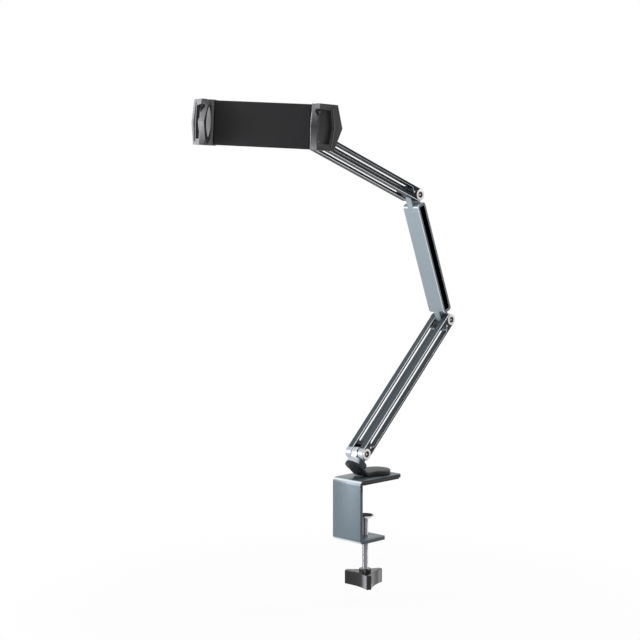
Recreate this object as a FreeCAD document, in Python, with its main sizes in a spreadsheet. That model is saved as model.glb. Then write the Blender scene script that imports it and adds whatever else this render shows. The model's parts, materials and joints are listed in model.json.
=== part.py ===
"""Bed tablet holder: a table clamp, three hinged arms, a ball head and a holder with two sprung jaws.

Millimetres. +Z is up, +X runs along the clamp's width and +Y goes in over the table.
The origin is on the clamp screw's axis, in the plane where the clamp's pad rests on the table.
"""
import FreeCAD, Part
import math
import os
import Sketcher

DRIVING = {
    # clamp
    "clamp_width": 48, "clamp_wall": 4.5, "clamp_back": 34.5, "clamp_throat": 69.5,
    "top_reach": 77.5, "bottom_reach": 48, "bend_radius": 6, "plate_corner": 4,
    "desk_pad_thick": 2, "desk_pad_width": 44, "desk_pad_margin": 2, "desk_pad_web_gap": 3,
    # clamp screw, its pressing plate and its knob
    "screw_radius": 4, "running_play": 0.05, "spigot_radius": 3, "spigot_length": 3.2,
    "press_drop": 43.5, "press_radius": 11.5, "press_tall": 5.2, "press_lip": 1.4,
    "press_boss": 6, "press_pad_radius": 9.6, "press_pad_thick": 1.6, "press_pad_proud": 0.5,
    "knob_drop": 117, "knob_tall": 18, "knob_reach": 26.5, "lobe_flat": 5.7, "side_sag": 2.8,
    "collar_radius": 7.7, "collar_tall": 3.5, "knob_turn": 84, "knob_floor": 4, "knob_edge": 0.8,
    # swivel foot on the clamp
    "swivel_back": 20, "washer_radius": 17, "washer_thick": 0.8, "foot_radius": 18.5,
    "foot_thick": 5.5, "foot_edge": 1, "foot_bend": 28.5, "foot_lean": 41, "neck_width": 25,
    "seat_wall": 3, "seat_margin": 1.2, "seat_corner_gap": 0.4,
    "swivel_bolt_radius": 4, "swivel_head_radius": 8, "swivel_head_tall": 3.4, "cone_play": 0.4,
    "swivel_bolt_bite": 4.3, "seat_screw_radius": 3, "seat_screw_head": 5.6, "seat_screw_cone": 2.2,
    "seat_screw_bite": 5,
    "drum_radius": 12.2, "drum_tall": 7, "head_rise": 11,
    # pivots
    "pivot_radius": 3, "link_round": 8, "tongue_width": 8.8, "friction_thick": 0.6,
    "friction_radius": 7.2, "bolt_head_radius": 7, "bolt_head_tall": 2, "bolt_edge": 0.5,
    "hex_flat": 5, "hex_deep": 1.4,
    # arms
    "bar_thick": 9.5, "bar_edge": 0.7, "slot_width": 10, "slot_start": 13,
    "lower_length": 229, "lower_lean": 45.5, "upper_length": 229, "upper_rise": 20.1,
    "middle_length": 177, "middle_lean": 21.1, "middle_width": 26, "shoulder": 12,
    "shoulder_round": 3, "groove_start": 16,
    "spacer_start": 9.3, "spacer_long": 5.5, "spacer_inset": 1.5, "pin_radius": 1.1, "pin_place": 11.2,
    "pin_inset": 0.3,
    # ball head
    "head_tilt": 2.3, "ball_reach": 40.6, "link_start": 10, "link_radius": 8.5, "link_end": 27,
    "stud_radius": 4, "stud_bite": 11, "stud_collar": 6, "stud_collar_tall": 1.8, "neck_radius": 3.5,
    "ball_radius": 8.5, "ball_play": 0.3, "cup_radius": 12, "cup_overlap": 1, "cup_flange": 17,
    "cup_flange_thick": 2.5, "ring_radius": 14.5, "ring_front": 6, "ring_rear": 3.5, "ring_edge": 1.2,
    "ring_gap": 0.5, "cup_screw_radius": 1.5, "cup_screw_head": 2.1, "cup_screw_place": 14.2,
    # holder
    "holder_yaw": 32.7, "holder_roll": 3, "plate_reach": 26, "plate_half": 57.5, "plate_height": 51.5,
    "plate_thick": 2.5, "plate_edge": 1, "shell_deep": 12, "shell_wall": 2.4, "shell_edge": 3,
    "slide_play": 0.3, "slide_gap": 3, "slide_far": 45, "slide_side": 19,
    # jaws, each point as its distance sideways from the plate's middle and forward of its front
    "jaw_gap": 0.4, "jaw_height": 53, "wall_base": 61, "tip_side": 62.8, "tip_front": 23,
    "ridge_side": 71, "ridge_front": 18.5, "jaw_rear_side": 91, "jaw_rear": 21,
    "tip_top_front": 8, "ridge_top_side": 70, "ridge_top_front": 11,
    "rear_top_side": 86, "jaw_top_rear": 12.6,
    "tip_low_front": 14, "ridge_low_side": 69.5, "ridge_low_front": 15.5,
    "rear_low_side": 84.5, "jaw_low_rear": 9.5, "heel": 4, "corner_start": 18.5, "corner_side": 4.5,
    "recess_start": 3.5, "recess_long": 21, "recess_apex": 4, "recess_half": 19.5, "recess_deep": 7,
    "step_wide": 3, "step_deep": 2.2,
    "jaw_pad_thick": 1.2, "jaw_pad_tall": 34, "jaw_pad_wide": 13, "jaw_pad_front": 9.5,
}


class Size:
    """A number together with the sheet formula that gives it."""

    def __init__(self, value, formula):
        self.value = value
        self.formula = formula

    def __add__(self, other):
        return joined(self, "+", other, self.value + as_size(other).value)

    def __sub__(self, other):
        return joined(self, "-", other, self.value - as_size(other).value)

    def __mul__(self, other):
        return joined(self, "*", other, self.value * as_size(other).value)

    def __truediv__(self, other):
        return joined(self, "/", other, self.value / as_size(other).value)

    def __radd__(self, other):
        return as_size(other) + self

    def __rsub__(self, other):
        return as_size(other) - self

    def __rmul__(self, other):
        return as_size(other) * self

    def __neg__(self):
        return as_size(0) - self


def as_size(number):
    return number if isinstance(number, Size) else Size(float(number), f"({float(number)})")


def joined(first, sign, second, value):
    return Size(value, f"({first.formula} {sign} {as_size(second).formula})")


def sin_of(angle):
    return Size(math.sin(math.radians(angle.value)), f"sin({angle.formula})")


def cos_of(angle):
    return Size(math.cos(math.radians(angle.value)), f"cos({angle.formula})")


def tan_of(angle):
    return sin_of(angle) / cos_of(angle)


def angle_of(rise, run):
    """The angle whose tangent is rise over run."""
    turn = math.degrees(math.atan2(rise.value, run.value))
    return Size(turn, f"(atan2({rise.formula}; {run.formula}) / 1 deg)")


class Dimensions:
    """The driving dimensions, by name, each bound to its own cell of the sheet."""

    def __getattr__(self, name):
        return Size(float(DRIVING[name]), f"Sizes.{name}")


dim = Dimensions()
doc = FreeCAD.newDocument("tablet_holder")
nodes = []


def fill_sheet():
    sheet = doc.addObject("Spreadsheet::Sheet", "Sizes")
    for row, (name, number) in enumerate(DRIVING.items(), start=1):
        sheet.set(f"A{row}", name)
        sheet.set(f"B{row}", str(number))
        sheet.setAlias(f"B{row}", name)
    doc.recompute()


class Frame:
    """A place, and turns about X (roll), then Y (pitch), then Z (yaw), in degrees."""

    def __init__(self, x=0, y=0, z=0, yaw=0, pitch=0, roll=0):
        self.place = [as_size(v) for v in (x, y, z)]
        self.turn = [as_size(v) for v in (yaw, pitch, roll)]

    def bind(self, item):
        place = "; ".join(v.formula for v in self.place)
        turn = "; ".join(v.formula for v in self.turn)
        item.setExpression("Placement", f"placement(vector({place}); rotation({turn}))")


WORLD = Frame()


def bind(item, **sizes):
    for name, size in sizes.items():
        item.setExpression(name, as_size(size).formula)


def node(item, label, frame=WORLD):
    """Makes an object a sub-part of its own, carried to its frame."""
    if item.TypeId in ("Part::Box", "Part::Cylinder"):
        item = group(label + "_piece", item)
    item.Label = label
    frame.bind(item)
    nodes.append(item)
    return item


def box(name, x, y, z):
    """A block between a low and a high value on each axis."""
    item = doc.addObject("Part::Box", name)
    bind(item, Length=x[1] - x[0], Width=y[1] - y[0], Height=z[1] - z[0])
    Frame(x[0], y[0], z[0]).bind(item)
    return item


AXIS_TURNS = {"x": (0, 90, 0), "y": (0, 0, -90), "z": (0, 0, 0)}


def along(item, axis, low, first, second):
    """Lays a round solid along an axis, starting at low, with its middle at the other two values."""
    place = {"x": (low, first, second), "y": (first, low, second), "z": (first, second, low)}[axis]
    Frame(*place, *AXIS_TURNS[axis]).bind(item)
    return item


def cylinder(name, radius, axis, low, high, first=0, second=0):
    item = doc.addObject("Part::Cylinder", name)
    bind(item, Radius=radius, Height=high - low)
    return along(item, axis, low, first, second)


def cone(name, radii, axis, low, high, first=0, second=0):
    item = doc.addObject("Part::Cone", name)
    bind(item, Radius1=radii[0], Radius2=radii[1], Height=high - low)
    return along(item, axis, low, first, second)


def sphere(name, radius, z=0):
    item = doc.addObject("Part::Sphere", name)
    bind(item, Radius=radius)
    Frame(0, 0, z).bind(item)
    return item


def fuse(name, *pieces):
    item = doc.addObject("Part::MultiFuse", name)
    item.Shapes = list(pieces)
    item.Refine = True
    return item


def cut(name, base, *tools):
    item = doc.addObject("Part::Cut", name)
    item.Base = base
    item.Tool = tools[0] if len(tools) == 1 else fuse(name + "_tools", *tools)
    item.Refine = True
    return item


def common(name, first, second):
    item = doc.addObject("Part::Common", name)
    item.Base = first
    item.Tool = second
    item.Refine = True
    return item


def group(name, *pieces):
    """Separate like solids that share one sub-part."""
    item = doc.addObject("Part::Compound", name)
    item.Links = list(pieces)
    return item


def new_body(name):
    return doc.addObject("PartDesign::Body", name)


def sketch(body, name, role, raised=0):
    """A sketch on one of the body's own origin planes, or raised from it."""
    item = body.newObject("Sketcher::SketchObject", name)
    plane = next(feature for feature in body.Origin.OriginFeatures if feature.Role == role)
    item.AttachmentSupport = [(plane, "")]
    item.MapMode = "FlatFace"
    item.setExpression("AttachmentOffset.Base.z", as_size(raised).formula)
    return item


def outline(body, name, role, points, raised=0):
    """A closed sketch of straight lines through points, each held by its two distances."""
    item = sketch(body, name, role, raised)
    corners = [(as_size(a), as_size(b)) for a, b in points]
    spots = [FreeCAD.Vector(a.value, b.value, 0) for a, b in corners]
    last = len(spots)
    for index, spot in enumerate(spots):
        item.addGeometry(Part.LineSegment(spot, spots[(index + 1) % last]), False)
    for index in range(last):
        item.addConstraint(Sketcher.Constraint("Coincident", index, 2, (index + 1) % last, 1))
    for index, corner in enumerate(corners):
        for kind, size in zip(("DistanceX", "DistanceY"), corner):
            held = item.addConstraint(Sketcher.Constraint(kind, -1, 1, index, 1, size.value))
            item.setExpression(f"Constraints[{held}]", size.formula)
    return item


def circle(body, name, role, radius, first=0, second=0, raised=0):
    item = sketch(body, name, role, raised)
    size = as_size(radius)
    middle = (as_size(first), as_size(second))
    spot = FreeCAD.Vector(middle[0].value, middle[1].value, 0)
    item.addGeometry(Part.Circle(spot, FreeCAD.Vector(0, 0, 1), size.value), False)
    held = item.addConstraint(Sketcher.Constraint("Radius", 0, size.value))
    item.setExpression(f"Constraints[{held}]", size.formula)
    for kind, place in zip(("DistanceX", "DistanceY"), middle):
        held = item.addConstraint(Sketcher.Constraint(kind, -1, 1, 0, 3, place.value))
        item.setExpression(f"Constraints[{held}]", place.formula)
    return item


def pad(body, name, profile, length, symmetric=False):
    item = body.newObject("PartDesign::Pad", name)
    item.Profile = profile
    item.SideType = "Symmetric" if symmetric else "One side"
    bind(item, Length=length)
    doc.recompute()
    return item


def pocket(body, name, profile, length, reverse=False):
    before = body.Shape.Volume
    item = body.newObject("PartDesign::Pocket", name)
    item.Profile = profile
    item.Reversed = reverse
    bind(item, Length=length)
    doc.recompute()
    if body.Shape.Volume >= before:
        raise RuntimeError(f"{name} cuts nothing")
    return item


def revolve(body, name, profile, axis):
    item = body.newObject("PartDesign::Revolution", name)
    item.Profile = profile
    item.ReferenceAxis = (profile, [axis])
    item.Angle = 360
    doc.recompute()
    return item


def turned(name, points):
    """A body turned about Z from its radius and height points."""
    body = new_body(name)
    revolve(body, name + "_turning", outline(body, name + "_profile", "XZ_Plane", points), "V_Axis")
    return body


def middle_of(edge):
    return edge.valueAt((edge.FirstParameter + edge.LastParameter) / 2)


def runs_along(edge, axis):
    if edge.Curve.TypeId != "Part::GeomLine":
        return False
    return abs(getattr(edge.tangentAt(edge.FirstParameter), axis)) > 0.999


def dress(body, kind, name, base, size, chosen):
    """Rounds or bevels the edges of a feature for which chosen(edge) is true."""
    edges = [f"Edge{index}" for index, edge in enumerate(base.Shape.Edges, start=1) if chosen(edge)]
    if not edges:
        raise RuntimeError(f"{name} finds no edge")
    item = body.newObject("PartDesign::" + kind, name)
    item.Base = (base, edges)
    bind(item, **{"Radius" if kind == "Fillet" else "Size": size})
    doc.recompute()
    return item


def make_clamp():
    top = dim.desk_pad_thick + dim.clamp_wall
    web = -dim.clamp_back
    inner = web + dim.clamp_wall
    low = -dim.clamp_throat
    end = web + dim.top_reach
    low_end = web + dim.bottom_reach
    body = new_body("clamp_blank")
    points = [(end, top), (web, top), (web, low - dim.clamp_wall), (low_end, low - dim.clamp_wall),
              (low_end, low), (inner, low), (inner, dim.desk_pad_thick), (end, dim.desk_pad_thick)]
    strip = pad(body, "clamp_strip", outline(body, "clamp_section", "YZ_Plane", points),
                dim.clamp_width, symmetric=True)
    outer = dress(body, "Fillet", "outer_bends", strip, dim.bend_radius,
                  lambda edge: runs_along(edge, "x") and abs(middle_of(edge).y - web.value) < 0.01)
    inside = dress(body, "Fillet", "inner_bends", outer, dim.bend_radius - dim.clamp_wall,
                   lambda edge: runs_along(edge, "x") and abs(middle_of(edge).y - inner.value) < 0.01
                   and middle_of(edge).z > low.value - 0.01 and middle_of(edge).z < top.value)
    ends = (end.value, low_end.value)
    dress(body, "Fillet", "plate_corners", inside, dim.plate_corner,
          lambda edge: runs_along(edge, "z") and min(abs(middle_of(edge).y - v) for v in ends) < 0.01)
    screw_hole = cylinder("screw_hole", dim.screw_radius + dim.running_play, "z",
                          low - dim.clamp_wall - 1, low + 1)
    bolt_hole = cylinder("bolt_hole", dim.swivel_bolt_radius + dim.running_play, "z", 0, top + 1,
                         0, dim.swivel_back)
    sink = cone("bolt_sink", (dim.swivel_head_radius + dim.cone_play, dim.swivel_bolt_radius
                              + dim.cone_play), "z", dim.desk_pad_thick,
                dim.desk_pad_thick + dim.swivel_head_tall, 0, dim.swivel_back)
    node(cut("clamp", body, screw_hole, bolt_hole, sink), "clamp_bracket")


def make_desk_pad():
    half = dim.desk_pad_width / 2
    start = dim.clamp_wall - dim.clamp_back + dim.desk_pad_web_gap
    end = dim.top_reach - dim.clamp_back - dim.desk_pad_margin
    body = new_body("pad_body")
    profile = outline(body, "pad_outline", "XY_Plane",
                      [(-half, start), (half, start), (half, end), (-half, end)])
    block = pad(body, "pad_block", profile, dim.desk_pad_thick)
    dress(body, "Fillet", "pad_corners", block, dim.plate_corner - dim.desk_pad_margin,
          lambda edge: runs_along(edge, "z"))
    node(body, "desk_pad")


def make_screw():
    top = -dim.press_drop - dim.press_tall + dim.spigot_length
    shoulder = top - dim.spigot_length
    bottom = -dim.knob_drop - dim.knob_tall + dim.knob_floor
    rod = turned("screw_rod", [(0, top), (dim.spigot_radius, top), (dim.spigot_radius, shoulder),
                               (dim.screw_radius, shoulder), (dim.screw_radius, bottom), (0, bottom)])
    node(rod, "clamp_screw")


def make_pressure_plate():
    rim = -dim.press_drop - dim.press_pad_proud
    low = -dim.press_drop - dim.press_tall
    seat = rim - dim.press_pad_thick + dim.press_pad_proud
    plate = turned("plate_body", [(0, seat), (dim.press_pad_radius + dim.running_play, seat),
                                  (dim.press_pad_radius + dim.running_play, rim),
                                  (dim.press_radius, rim), (dim.press_radius, rim - dim.press_lip),
                                  (dim.press_boss, low), (0, low)])
    bore = cylinder("spigot_bore", dim.spigot_radius + dim.running_play, "z", low - 1,
                    low + dim.spigot_length + dim.running_play)
    node(cut("pressing_plate", plate, bore), "pressure_plate")
    node(cylinder("pressing_pad", dim.press_pad_radius, "z", seat, seat + dim.press_pad_thick),
         "pressure_pad")


def make_knob():
    top = -dim.knob_drop
    low = top - dim.knob_tall
    third = Size(120.0, "120")
    half = dim.lobe_flat / 2
    points = []
    for lobe in range(3):
        angle = dim.knob_turn + third * lobe
        for side in (-1, 1):
            points.append((cos_of(angle) * dim.knob_reach - sin_of(angle) * half * side,
                           sin_of(angle) * dim.knob_reach + cos_of(angle) * half * side))
    body = new_body("knob_body")
    prism = pad(body, "knob_prism", outline(body, "knob_outline", "XY_Plane", points, low), dim.knob_tall)
    sixty = Size(60.0, "60")
    chord = sin_of(sixty) * dim.knob_reach - cos_of(sixty) * half
    side_middle = cos_of(sixty) * dim.knob_reach + sin_of(sixty) * half
    bow = (chord * chord + dim.side_sag * dim.side_sag) / (dim.side_sag * 2)
    away = side_middle - dim.side_sag + bow
    hollow_at = dim.knob_turn + sixty
    hollow = circle(body, "hollow_outline", "XY_Plane", bow, cos_of(hollow_at) * away,
                    sin_of(hollow_at) * away, low)
    first = pocket(body, "hollow_side", hollow, dim.knob_tall, reverse=True)
    turns = body.newObject("PartDesign::PolarPattern", "hollow_sides")
    turns.Originals = [first]
    round_about = next(feature for feature in body.Origin.OriginFeatures if feature.Role == "Z_Axis")
    turns.Axis = (round_about, [""])
    turns.Occurrences = 3
    body.Tip = turns
    doc.recompute()
    dress(body, "Fillet", "knob_edges", turns, dim.knob_edge,
          lambda edge: abs(abs(middle_of(edge).z - low.value - dim.knob_tall.value / 2)
                           - dim.knob_tall.value / 2) < 0.01)
    collar = cylinder("knob_collar", dim.collar_radius, "z", top - 1, top + dim.collar_tall)
    bore = cylinder("knob_bore", dim.screw_radius + dim.running_play, "z", low + dim.knob_floor,
                    top + dim.collar_tall + 1)
    node(cut("knob", fuse("knob_solid", body, collar), bore), "screw_knob")


PLATE_TOP = dim.desk_pad_thick + dim.clamp_wall
FOOT_LOW = PLATE_TOP + dim.washer_thick
FOOT_TOP = FOOT_LOW + dim.foot_thick
BEND_Y = dim.swivel_back - dim.foot_bend
SEAT_REACH = dim.drum_radius + dim.seat_corner_gap
SEAT_Y = BEND_Y - cos_of(dim.foot_lean) * SEAT_REACH
SEAT_Z = FOOT_TOP + sin_of(dim.foot_lean) * SEAT_REACH
SEAT = Frame(0, SEAT_Y, SEAT_Z, 0, 0, -dim.foot_lean)
BASE_Y = SEAT_Y + sin_of(dim.foot_lean) * dim.drum_tall
BASE_Z = SEAT_Z + cos_of(dim.foot_lean) * dim.drum_tall + dim.head_rise


def moved(name, frame, *pieces):
    """Pieces drawn about a frame's own origin, carried to that frame."""
    item = group(name, *pieces)
    frame.bind(item)
    return item


def make_washer():
    disc = cylinder("washer_disc", dim.washer_radius, "z", PLATE_TOP, FOOT_LOW, 0, dim.swivel_back)
    hole = cylinder("washer_hole", dim.swivel_bolt_radius + dim.running_play, "z", PLATE_TOP - 1,
                    FOOT_LOW + 1, 0, dim.swivel_back)
    node(cut("washer", disc, hole), "swivel_washer")


def make_foot():
    disc = turned("foot_disc", [(0, 0), (dim.foot_radius, 0),
                                (dim.foot_radius, dim.foot_thick - dim.foot_edge),
                                (dim.foot_radius - dim.foot_edge, dim.foot_thick), (0, dim.foot_thick)])
    Frame(0, dim.swivel_back, FOOT_LOW).bind(disc)
    under_y = SEAT_Y - sin_of(dim.foot_lean) * dim.seat_wall
    under_z = SEAT_Z - cos_of(dim.foot_lean) * dim.seat_wall
    fold_y = under_y + (under_z - FOOT_LOW) / tan_of(dim.foot_lean)
    strip = new_body("foot_strip")
    section = outline(strip, "foot_section", "YZ_Plane",
                      [(dim.swivel_back, FOOT_TOP), (BEND_Y, FOOT_TOP), (SEAT_Y, SEAT_Z),
                       (under_y, under_z), (fold_y, FOOT_LOW), (dim.swivel_back, FOOT_LOW)])
    pad(strip, "foot_bent_strip", section, dim.neck_width, symmetric=True)
    seat_disc = cylinder("seat_disc", dim.drum_radius + dim.seat_margin, "z", -dim.seat_wall, 0)
    bolt_hole = cylinder("foot_bolt_hole", dim.swivel_bolt_radius + dim.running_play, "z",
                         FOOT_LOW - 1, FOOT_LOW + dim.swivel_bolt_bite, 0, dim.swivel_back)
    seat_hole = cylinder("seat_hole", dim.seat_screw_radius + dim.running_play, "z",
                         -dim.seat_wall - 1, 1)
    seat_sink = cone("seat_sink", (dim.seat_screw_head + dim.running_play,
                                   dim.seat_screw_radius + dim.running_play), "z",
                     -dim.seat_wall, dim.seat_screw_cone - dim.seat_wall)
    solid = fuse("foot_solid", disc, strip, moved("seat_end", SEAT, seat_disc))
    holes = moved("seat_holes", SEAT, fuse("seat_hole_tools", seat_hole, seat_sink))
    node(cut("foot", solid, bolt_hole, holes), "swivel_foot")


def make_pivot_head():
    edge = dim.bolt_edge
    drum = turned("drum_turning", [(0, 0), (dim.drum_radius, 0),
                                   (dim.drum_radius, dim.drum_tall - edge),
                                   (dim.drum_radius - edge, dim.drum_tall), (0, dim.drum_tall)])
    half = dim.tongue_width / 2
    upright = fuse("tongue_upright",
                   box("tongue_block", (-half, half), (BASE_Y - dim.link_round, BASE_Y + dim.link_round),
                       (BASE_Z - dim.link_round * 3, BASE_Z)),
                   cylinder("tongue_round", dim.link_round, "x", -half, half, BASE_Y, BASE_Z))
    reach = dim.link_round * 2
    above = moved("above_drum", SEAT, cylinder("tongue_room", reach, "z", dim.drum_tall - 1,
                                               dim.drum_tall + dim.head_rise + reach))
    solid = fuse("head_solid", moved("drum_in_place", SEAT, drum), common("tongue", upright, above))
    pivot_hole = cylinder("head_pivot_hole", dim.pivot_radius + dim.running_play, "x", -half - 1,
                          half + 1, BASE_Y, BASE_Z)
    screw_hole = moved("head_screw_hole", SEAT,
                       cylinder("head_screw_bore", dim.seat_screw_radius + dim.running_play, "z", -1,
                                dim.seat_screw_bite))
    node(cut("head", solid, pivot_hole, screw_hole), "pivot_head")


def make_swivel_screws():
    low = dim.desk_pad_thick + dim.running_play
    top = FOOT_LOW + dim.swivel_bolt_bite - dim.running_play
    bolt = turned("swivel_bolt_turning",
                  [(0, low), (dim.swivel_head_radius, low),
                   (dim.swivel_bolt_radius, low + dim.swivel_head_tall), (dim.swivel_bolt_radius, top),
                   (0, top)])
    node(bolt, "swivel_bolt", Frame(0, dim.swivel_back, 0))
    low = -dim.seat_wall
    top = dim.seat_screw_bite - dim.running_play
    screw = turned("seat_screw_turning",
                   [(0, low), (dim.seat_screw_head, low),
                    (dim.seat_screw_radius, low + dim.seat_screw_cone), (dim.seat_screw_radius, top),
                    (0, top)])
    node(screw, "head_screw", SEAT)


ARM_GAP = dim.tongue_width + dim.friction_thick * 2
ARM_SIDE = ARM_GAP / 2 + dim.bar_thick
PIVOT_HOLE = dim.pivot_radius + dim.running_play


def stadium(body, name, radius, low, high, raised):
    """A sketch with straight sides and round ends, its two ends centred at low and high."""
    item = sketch(body, name, "YZ_Plane", raised)
    radius, low, high = as_size(radius), as_size(low), as_size(high)
    half, start, end = radius.value, low.value, high.value
    normal = FreeCAD.Vector(0, 0, 1)

    def round_end(middle, first, last):
        whole = Part.Circle(FreeCAD.Vector(0, middle, 0), normal, half)
        return Part.ArcOfCircle(whole, first, last)

    def straight(side, first, last):
        return Part.LineSegment(FreeCAD.Vector(side, first, 0), FreeCAD.Vector(side, last, 0))

    for piece in (straight(half, start, end), round_end(end, 0, math.pi), straight(-half, end, start),
                  round_end(start, math.pi, 2 * math.pi)):
        item.addGeometry(piece, False)
    for first, second in ((0, 1), (1, 2), (2, 3), (3, 0)):
        item.addConstraint(Sketcher.Constraint("Tangent", first, 2, second, 1))
    for index, middle in ((1, high), (3, low)):
        across = item.addConstraint(Sketcher.Constraint("DistanceX", -1, 1, index, 3, 0.0))
        item.setExpression(f"Constraints[{across}]", "0")
        held = item.addConstraint(Sketcher.Constraint("DistanceY", -1, 1, index, 3, middle.value))
        item.setExpression(f"Constraints[{held}]", middle.formula)
        held = item.addConstraint(Sketcher.Constraint("Radius", index, half))
        item.setExpression(f"Constraints[{held}]", radius.formula)
    return item


def link(name, radius, low, high, start, end, edge=None):
    """A flat link with round ends, from start to end along X, its outline edges bevelled."""
    body = new_body(name)
    block = pad(body, name + "_block", stadium(body, name + "_outline", radius, low, high, start),
                as_size(end) - start)
    if edge is not None:
        dress(body, "Chamfer", name + "_bevel", block, edge,
              lambda line: min(abs(middle_of(line).x - as_size(v).value) for v in (start, end)) < 0.01)
    return body


def pivot_hole(name, side, place):
    return cylinder(name, PIVOT_HOLE, "x", -side - 1, side + 1, 0, place)


def make_slotted_arm(name, length, frame):
    """Two slotted side bars held apart by a spacer and a cross pin near each end."""
    pin_places = (dim.pin_place, length - dim.pin_place)
    slot_radius = dim.slot_width / 2
    slot_low = dim.slot_start + slot_radius
    for side, start in (("left", -ARM_SIDE), ("right", ARM_GAP / 2)):
        key = f"{name}_{side}"
        bar = link(key + "_blank", dim.link_round, 0, length, start, start + dim.bar_thick, dim.bar_edge)
        tools = [link(key + "_slot", slot_radius, slot_low, length - slot_low, start - 1,
                      start + dim.bar_thick + 1)]
        for end, place in (("low", as_size(0)), ("high", length)):
            tools.append(pivot_hole(f"{key}_{end}_pivot_hole", ARM_SIDE, place))
        for end, place in zip(("low", "high"), pin_places):
            tools.append(cylinder(f"{key}_{end}_pin_hole", dim.pin_radius, "x", -ARM_SIDE - 1,
                                  ARM_SIDE + 1, 0, place))
        node(cut(key, bar, *tools), key + "_bar", frame)
    spacers = []
    pins = []
    half = ARM_GAP / 2
    deep = dim.link_round - dim.spacer_inset
    far = dim.spacer_start + dim.spacer_long
    for end, low, high in (("low", dim.spacer_start, far), ("high", length - far, length - dim.spacer_start)):
        place = pin_places[0] if end == "low" else pin_places[1]
        block = box(f"{name}_{end}_spacer_block", (-half, half), (-deep, deep), (low, high))
        hole = cylinder(f"{name}_{end}_spacer_hole", dim.pin_radius, "x", -half - 1, half + 1, 0, place)
        spacers.append(cut(f"{name}_{end}_spacer", block, hole))
        out = ARM_SIDE - dim.pin_inset
        pins.append(cylinder(f"{name}_{end}_pin", dim.pin_radius, "x", -out, out, 0, place))
    node(group(name + "_spacer_pair", *spacers), name + "_spacers", frame)
    node(group(name + "_pin_pair", *pins), name + "_pins", frame)


def hexagon(body, name, flat, raised):
    reach = flat / 2 / cos_of(Size(30.0, "30"))
    points = []
    for corner in range(6):
        angle = Size(60.0 * corner, f"{60 * corner}")
        points.append((cos_of(angle) * reach, sin_of(angle) * reach))
    return outline(body, name, "YZ_Plane", points, raised)


def make_pivot(name, frame):
    """A hinge bolt with a hexagon socket, its sleeve nut and the two friction washers."""
    edge = dim.bolt_edge
    face = ARM_SIDE + dim.bolt_head_tall
    tip = -ARM_SIDE - dim.bolt_head_tall + edge
    body = new_body(name + "_bolt_body")
    profile = outline(body, name + "_bolt_profile", "XZ_Plane",
                      [(tip, 0), (tip, dim.pivot_radius), (ARM_SIDE, dim.pivot_radius),
                       (ARM_SIDE, dim.bolt_head_radius), (face - edge, dim.bolt_head_radius),
                       (face, dim.bolt_head_radius - edge), (face, 0)])
    revolve(body, name + "_bolt_turning", profile, "H_Axis")
    pocket(body, name + "_bolt_socket", hexagon(body, name + "_bolt_hexagon", dim.hex_flat, face),
           dim.hex_deep)
    node(body, name + "_bolt", frame)
    nut = new_body(name + "_nut_body")
    profile = outline(nut, name + "_nut_profile", "XZ_Plane",
                      [(-face, PIVOT_HOLE), (-face, dim.bolt_head_radius - edge),
                       (edge - face, dim.bolt_head_radius), (-ARM_SIDE, dim.bolt_head_radius),
                       (-ARM_SIDE, PIVOT_HOLE)])
    revolve(nut, name + "_nut_turning", profile, "H_Axis")
    node(nut, name + "_nut", frame)
    rings = []
    half = dim.tongue_width / 2
    for side, start in (("left", -half - dim.friction_thick), ("right", half)):
        disc = cylinder(f"{name}_{side}_disc", dim.friction_radius, "x", start, start + dim.friction_thick)
        rings.append(cut(f"{name}_{side}_ring", disc, pivot_hole(f"{name}_{side}_ring_hole", ARM_SIDE, 0)))
    node(group(name + "_ring_pair", *rings), name + "_washers", frame)


def make_middle_arm(frame):
    """An I-section bar: two flanges and a web that runs on as a round tongue at both ends."""
    half = dim.middle_width / 2
    web = dim.tongue_width / 2
    length = dim.middle_length
    body = new_body("middle_block")
    far = length - dim.shoulder
    section = outline(body, "middle_outline", "YZ_Plane",
                      [(-dim.link_round, dim.shoulder), (dim.link_round, dim.shoulder),
                       (dim.link_round, far), (-dim.link_round, far)], -half)
    block = pad(body, "middle_bar", section, dim.middle_width)
    dress(body, "Fillet", "middle_shoulders", block, dim.shoulder_round,
          lambda line: runs_along(line, "x"))
    tongue = link("middle_tongue", dim.link_round, 0, length, -web, web)
    radius = dim.slot_width / 2
    low = dim.groove_start + radius
    tools = [link(f"middle_{side}_groove", radius, low, length - low, start, start + half + 1)
             for side, start in (("left", -web - half - 1), ("right", web))]
    tools.append(pivot_hole("middle_low_hole", half, 0))
    tools.append(pivot_hole("middle_high_hole", half, length))
    node(cut("middle", fuse("middle_solid", body, tongue), *tools), "middle_arm", frame)


def make_head(frame):
    half = dim.tongue_width / 2
    edge = dim.bolt_edge
    tongue = link("link_tongue", dim.link_round, 0, dim.link_start + edge, -half, half)
    barrel = turned("link_barrel", [(0, dim.link_start), (dim.link_radius - edge, dim.link_start),
                                    (dim.link_radius, dim.link_start + edge),
                                    (dim.link_radius, dim.link_end - edge),
                                    (dim.link_radius - edge, dim.link_end), (0, dim.link_end)])
    bore = cylinder("stud_bore", dim.stud_radius + dim.running_play, "z",
                    dim.link_end - dim.stud_bite - dim.running_play, dim.link_end + 1)
    node(cut("link", fuse("link_solid", tongue, barrel), bore, pivot_hole("link_pivot_hole", half, 0)),
         "head_link", frame)
    top = dim.ball_reach
    stud = turned("stud_turning", [(0, dim.link_end - dim.stud_bite),
                                   (dim.stud_radius, dim.link_end - dim.stud_bite),
                                   (dim.stud_radius, dim.link_end), (dim.stud_collar, dim.link_end),
                                   (dim.stud_collar, dim.link_end + dim.stud_collar_tall),
                                   (dim.neck_radius, dim.link_end + dim.stud_collar_tall),
                                   (dim.neck_radius, top), (0, top)])
    node(fuse("stud", stud, sphere("stud_ball", dim.ball_radius, top)), "ball_stud", frame)


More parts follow.
